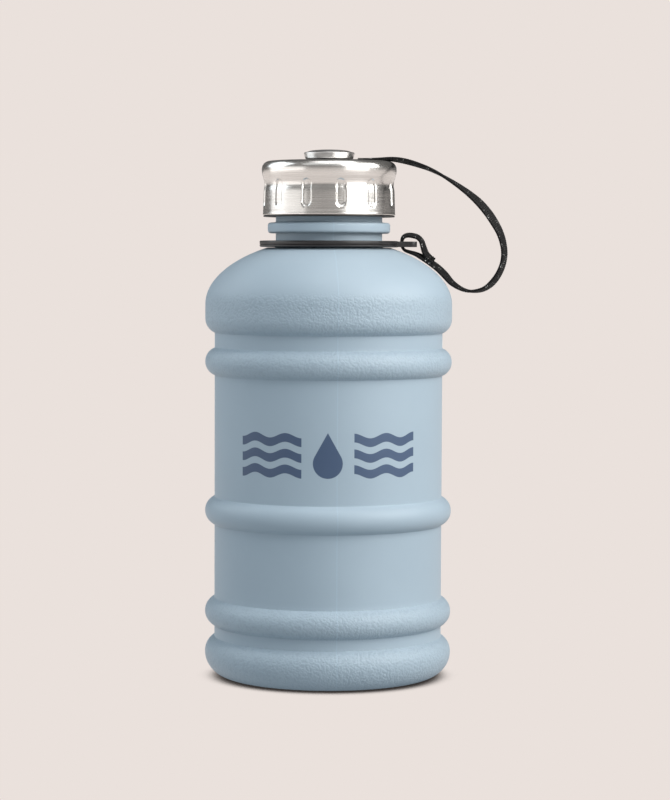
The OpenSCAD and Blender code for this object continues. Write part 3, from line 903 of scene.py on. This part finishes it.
def steelMaterial(name, tint, roughLow, roughHigh, fineness, brushed):
    material, tree, shader, place = startMaterial(
        name, **{"Metallic": 1.0, "Anisotropic": brushed, "Anisotropic Rotation": 0.25})
    lines = useGroup(tree, linesGroup, Vector=place["Object"], Fineness=fineness)
    wear = useGroup(tree, wearGroup, Vector=place["Object"], Patch_Size=0.012)
    dark = tuple(c * 0.86 for c in tint)
    shade = rampBetween(tree, lines["Lines"], 0.3, 0.7)
    streaky = mixColours(tree, shade, dark, tint)
    broad = rampBetween(tree, lines["Streaks"], 0.35, 0.65, 0.0, 0.25)
    tree.links.new(mixColours(tree, broad, streaky, tuple(min(c * 1.12, 1) for c in tint)),
                   shader.inputs["Base Color"])
    rough = rampBetween(tree, lines["Lines"], 0.25, 0.75, roughLow, roughHigh)
    tree.links.new(plus(tree, rough, times(tree, wear["Patches"], 0.04)),
                   shader.inputs["Roughness"])
    tangent = addNode(tree, "ShaderNodeTangent", direction_type="RADIAL", axis="Z")
    tree.links.new(tangent.outputs[0], shader.inputs["Tangent"])
    addBump(tree, shader, lines["Lines"], 0.008 * mm, 0.5)
    return material


def makeCap(shape):
    outer = capOutline(shape, 0) + [(shape["hole"], shape["top"])]
    inner = [(shape["hole"], shape["top"] - shape["steel"])] + capOutline(shape, shape["steel"])[::-1]
    rows = addRows(outer, [], 0.6) + addRows(inner, [], 40)
    cap = spinOutline("cap_steel_shell", [(r * mm, z * mm) for r, z in rows], shape["columns"])
    writePoints(cap, pressFlutes(shape, readPoints(cap) / mm) * mm)
    smoothShade(cap, 40)
    steel = steelMaterial("brushed steel", (0.80, 0.79, 0.77), 0.17, 0.27, 1.0, 0.5)
    settle(cap, "cap", "cap_steel", steel, "cap_shell")
    print("cap", len(cap.data.polygons), "faces")


makeCap(capShape)

# button on its hollow post

buttonShape = {
    "radius": 13.3, "low": 272.55, "top": 277.55, "post": 4, "hole": 1.95,
    "crown": ((3, 0.75), (4.2, 0.5), (6, 0.3), (8, 0.14), (10.5, 0.04)),      # in, down
}


def makeButton(shape, low):
    r, z, top = shape["radius"], shape["low"], shape["top"]
    outline = [(shape["hole"], low), (shape["post"] - 0.2, low), (shape["post"], low + 0.2),
               (shape["post"], z - 0.15), (shape["post"] + 0.15, z)]
    outline += roundCorner((r - 1.5, z + 1), 1, -90, -15, 6)
    outline += roundCorner((r - 0.6, z + 2.9), 0.6, -20, 70, 6)
    outline.append((r - 1.6, z + 3.75))
    outline += [(r - inward, top - down) for inward, down in shape["crown"]]
    outline += [(0, top), (0, z + 1), (shape["hole"], z + 1)]
    outline.append(outline[0])
    rows = addRows(outline, [], 1.5)[:-1]
    button = spinOutline("cap_button_top", [(a * mm, b * mm) for a, b in rows], 160)
    smoothShade(button, 38)
    steel = steelMaterial("turned steel", (0.70, 0.69, 0.68), 0.24, 0.38, 1.4, 0.35)
    settle(button, "post", "button_steel", steel, "cap_button")


makeButton(buttonShape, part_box("cap_button")[0].z / mm)

# moulded and small parts, from the frame's own meshes with softened edges


def plasticMaterial(name, dark, light, rough, grainSize, bumpHeight, specular=0.5):
    material, tree, shader, place = startMaterial(name, **{"Specular IOR Level": specular})
    wear = useGroup(tree, wearGroup, Vector=place["Object"], Patch_Size=0.008)
    grain = useGroup(tree, grainGroup, Vector=place["Object"], Size=grainSize)
    tree.links.new(mixColours(tree, wear["Patches"], dark, light), shader.inputs["Base Color"])
    tree.links.new(rampBetween(tree, wear["Patches"], 0, 1, rough - 0.05, rough + 0.05),
                   shader.inputs["Roughness"])
    addBump(tree, shader, grain["Height"], bumpHeight, 0.5)
    return material


smallParts = {
    # node: name, body, slot, bevel in mm, material
    "neck_ring": (
        "tether_ring_moulding", "tether_ring", "ring_black", 0.35,
        plasticMaterial("black ring plastic", (0.012, 0.011, 0.012), (0.02, 0.018, 0.019), 0.36,
                        0.0004, 0.02 * mm)),
    "cap_insert": (
        "cap_inner_moulding", "cap", "insert_black", 0.15,
        plasticMaterial("black insert plastic", (0.008, 0.008, 0.008),
                        (0.014, 0.014, 0.014), 0.5, 0.0005, 0.02 * mm)),
    "cap_gasket": (
        "sealing_gasket", "cap", "gasket_silicone", 0.25,
        plasticMaterial("pale silicone", (0.66, 0.68, 0.70), (0.74, 0.76, 0.77), 0.6,
                        0.0006, 0.02 * mm)),
    "swivel_bush": (
        "nylon_bush", "cap", "bush_nylon", 0.08,
        plasticMaterial("natural nylon", (0.78, 0.78, 0.72), (0.84, 0.84, 0.79), 0.42,
                        0.0005, 0.01 * mm)),
    "post_seal": (
        "rubber_seal", "cap", "seal_rubber", 0.0,
        plasticMaterial("red rubber", (0.30, 0.07, 0.04), (0.38, 0.10, 0.06), 0.55,
                        0.0004, 0.01 * mm)),
    "back_washer": (
        "steel_washer", "post", "button_steel", 0.12,
        steelMaterial("washer steel", (0.66, 0.66, 0.65), 0.26, 0.4, 1.2, 0.3)),
    "clamp_screw": (
        "slotted_screw", "post", "button_steel", 0.12,
        steelMaterial("screw steel", (0.62, 0.62, 0.61), 0.24, 0.38, 1.2, 0.3)),
}


def makeSmallParts(parts):
    for node, (name, rider, slotName, bevel, material) in parts.items():
        piece = copyOfNode(node, name)
        if bevel:
            softenEdges(piece, bevel * mm)
        else:
            smoothShade(piece, 60)
        settle(piece, rider, slotName, material, node)
        print(name, len(piece.data.polygons), "faces")


makeSmallParts(smallParts)

# webbing tether

strapShape = {
    "width": 7 * mm,
    "thickness": 1.6 * mm,
    "columns": 12,           # warp threads across the width
    "ringsPerPick": 2,
    "pick": 1.15 * mm,       # one crossing thread of the weave
    "ribHeight": 0.11 * mm,
    "route": [               # x, y, z in millimetres and the twist in degrees
        (15, 0, 272.4, 0), (20, 0, 272.4, 0), (26.5, 0, 272.6, -2), (32, 0, 272.7, -8),
        (37, 0, 272.2, -13), (42, -0.5, 271.1, -14), (47, -0.5, 269.6, -11), (52, -1, 267.8, -6),
        (57.5, -1, 265.2, 0), (63, -1.5, 262, 8), (68.5, -2, 258.4, 16), (74, -2.5, 254.3, 25),
        (79, -3, 249.8, 34), (83.5, -3, 244.6, 37), (87, -3, 239.4, 36), (89.8, -3, 234.2, 31),
        (91.6, -2.5, 228.6, 27), (92.2, -2.5, 223, 25), (91.4, -2, 217.6, 24), (89.2, -2, 212.4, 25),
        (86, -1.5, 208, 24), (81.8, -1.5, 204.8, 15), (77.2, -1, 203.6, 6), (72.6, -1, 203.8, -4),
        (68.4, -0.5, 205.5, -13), (64.6, 0, 208.2, -22), (61.3, 0, 211.9, -28), (57.6, 0, 215.5, -27),
        (53.4, 0, 218.6, -24), (49.4, 0, 221.1, -20), (45.6, 0, 223, -11), (42.2, 0, 224.1, -5),
        (39.9, 0, 225, -2), (38.7, 0, 226.6, 0), (38.4, 0, 228.4, 0), (38.5, 0, 230.3, 3),
        (39.3, 0, 231.9, 8), (41.2, 0, 232.8, 12), (43.8, 0, 232.7, 15), (46.6, 0, 231.9, 16),
        (48.6, 0, 230, 17), (49.5, 0, 227.6, 20), (50.2, 0, 225.3, 23), (51.2, 0, 223, 24),
        (53.2, 0, 220.8, 24), (55.2, 0, 219.2, 24)],
}


def curveThrough(points, spacing):
    # an even run of points on a smooth curve through the given ones
    points = np.array(points, float)
    padded = np.vstack([2 * points[0] - points[1], points, 2 * points[-1] - points[-2]])
    fine = []
    for i in range(len(points) - 1):
        a, b, c, d = padded[i:i + 4]
        for t in np.arange(0, 1, 0.02):
            fine.append(0.5 * (2 * b + (c - a) * t + (2 * a - 5 * b + 4 * c - d) * t ** 2
                               + (3 * b - a - 3 * c + d) * t ** 3))
    fine.append(points[-1])
    fine = np.array(fine)
    along = np.concatenate([[0], np.cumsum(np.linalg.norm(np.diff(fine[:, :3], axis=0), axis=1))])
    stops = np.linspace(0, along[-1], int(along[-1] / spacing) + 1)
    return np.stack([np.interp(stops, along, fine[:, k]) for k in range(fine.shape[1])], 1), stops


def strapFrames(shape):
    route = [(x * mm, y * mm, z * mm, math.radians(a)) for x, y, z, a in shape["route"]]
    points, stops = curveThrough(route, shape["pick"] / shape["ringsPerPick"])
    frames = []
    for i in range(len(points)):
        heading = Vector(points[min(i + 1, len(points) - 1), :3] - points[max(i - 1, 0), :3]).normalized()
        across = (Vector((0, 1, 0)) - heading.y * heading).normalized()
        turn = points[i, 3]
        across = across * math.cos(turn) + heading.cross(across) * math.sin(turn)
        frames.append((Vector(points[i, :3]), across, heading.cross(across)))
    return frames, stops


def strapSection(shape, phase):
    # flat tube with round edges, its faces ribbed by the weave
    half, thick = shape["width"] / 2, shape["thickness"] / 2
    section, columns = [], shape["columns"]
    for side in (1, -1):
        for i in range(columns + 1):
            x = half - thick * 0.7 - (2 * half - thick * 1.4) * i / columns
            rib = shape["ribHeight"] * math.cos(math.pi * (i + phase)) * (0.5 if i in (0, columns) else 1)
            section.append((side * x, side * (thick - shape["ribHeight"] + rib)))
        edge = side * (shape["ribHeight"] * 0.9 * phase - half)
        section.append((edge + side * thick * 0.22, side * thick * 0.62))
        section.append((edge, 0))
        section.append((edge + side * thick * 0.22, -side * thick * 0.62))
    return section


def makeStrap(shape):
    frames, stops = strapFrames(shape)
    rows = [strapSection(shape, phase) for phase in (0, 1)]
    count = len(rows[0])
    sections = [[centre + across * x + up * y for x, y in rows[i % 2]]
                for i, (centre, across, up) in enumerate(frames)]
    strap = loftSections("tether_webbing", sections)
    mesh = strap.data
    weave = mesh.uv_layers.new(name="weave")
    for face in mesh.polygons:
        for corner in face.loop_indices:
            vertex = mesh.loops[corner].vertex_index
            ring, spot = divmod(vertex, count)
            weave.data[corner].uv = (rows[0][spot][0] / shape["width"] + 0.5, stops[ring])
    cleanUp(strap)
    smoothShade(strap, 50)
    return strap, frames, stops[-1]


def webbingMaterial():
    material, tree, shader, place = startMaterial(
        "black webbing", **{"Sheen Weight": 0.04, "Sheen Roughness": 0.5,
                            "Specular IOR Level": 0.22})
    axes = axesOf(tree, place["UV"])
    pick = strapShape["pick"]
    warp = times(tree, axes["X"], strapShape["columns"] * math.pi)
    weft = times(tree, axes["Y"], math.tau / pick / 2)
    cross = times(tree, math1(tree, "SINE", warp), math1(tree, "COSINE", weft))
    threads = sizeOf(tree, cross)
    # painted glints: pale spots on the thread tops near the edges stand in for the weave's specular
    # highlights
    fibres = noise(tree, place["Object"], 5200.0, 2.0)
    paintedGlintCells = addNode(tree, "ShaderNodeTexVoronoi", {
        "Vector": place["Object"], "Scale": 640.0, "Randomness": 1.0})
    paintedGlintSpots = rampBetween(tree, paintedGlintCells.outputs["Color"], 0.74, 0.86)
    edges = rampBetween(tree, sizeOf(tree, minus(tree, axes["X"], 0.5)),
                        0.36, 0.42, 0.35, 1.0)
    bright = times(tree, times(tree, paintedGlintSpots, edges),
                   rampBetween(tree, threads, 0.4, 0.8))
    # painted shade: the gaps between the threads are darker than the thread tops
    dark = mixColours(tree, threads, (0.0012, 0.0012, 0.0013), (0.0065, 0.006, 0.006))
    colour = mixColours(tree, bright, dark, (0.55, 0.53, 0.50))
    tree.links.new(colour, shader.inputs["Base Color"])
    tree.links.new(rampBetween(tree, fibres[0], 0.3, 0.7, 0.48, 0.8), shader.inputs["Roughness"])
    height = plus(tree, threads, times(tree, fibres[0], 0.3))
    addBump(tree, shader, height, 0.12 * mm, 0.8)
    return material


webbing = webbingMaterial()
strap, strapFramesDone, strapLength = makeStrap(strapShape)
strap.data.materials.append(webbing)
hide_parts("tether_strap")
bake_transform(strap)
print("strap", round(strapLength, 4))

stitchShape = {
    "threadRadius": 0.17 * mm,
    "width": 5.2 * mm,
    "turns": 9,
    "zigzag": 0.32 * mm,
    "rows": (0.8, 1.8),      # millimetres back from the folded end
    "sides": 8,
}


def makeStitching(shape, frames):
    # two zigzag rows of thread through the folded end
    tacks = []
    spacing = strapShape["pick"] / strapShape["ringsPerPick"] / mm
    for back in shape["rows"]:
        centre, across, up = frames[-1 - round(back / spacing)]
        heading = across.cross(up)
        path = []
        for i in range(shape["turns"] * 4 + 1):
            t = i / (shape["turns"] * 4)
            wave = math.asin(math.sin(math.tau * shape["turns"] / 2 * t)) * 2 / math.pi
            lift = shape["threadRadius"] * (0.55 + 0.3 * abs(wave))
            path.append(centre + across * (t - 0.5) * shape["width"] + heading * wave * shape["zigzag"]
                        + up * (strapShape["thickness"] / 2 + lift))
        sections = []
        for i, point in enumerate(path):
            along = (path[min(i + 1, len(path) - 1)] - path[max(i - 1, 0)]).normalized()
            side = along.cross(up).normalized()
            sections.append([
                point + (side * math.cos(a) + side.cross(along) * math.sin(a)) * shape["threadRadius"]
                for a in (math.tau * k / shape["sides"] for k in range(shape["sides"]))])
        tacks.append(loftSections("tack", sections))
    deselectAll()
    for tack in tacks:
        tack.select_set(True)
    bpy.context.view_layer.objects.active = tacks[0]
    bpy.ops.object.join()
    stitching = bpy.context.object
    stitching.name = "fold_stitching"
    smoothShade(stitching, 60)
    thread = plasticMaterial("black thread", (0.006, 0.006, 0.006), (0.02, 0.02, 0.02), 0.7,
                             0.0002, 0.03 * mm, 0.2)
    settle(stitching, "tether_ring", "stitch_thread", thread, "strap_stitching")


makeStitching(stitchShape, strapFramesDone)

eye = copyOfNode("strap_eye", "pressed_eye")
softenEdges(eye, 0.12 * mm)
settle(eye, "tether_eye", "webbing_black",
       plasticMaterial("pressed webbing", (0.004, 0.004, 0.004), (0.009, 0.009, 0.009), 0.5,
                       0.0006, 0.08 * mm, 0.3),
       "strap_eye")
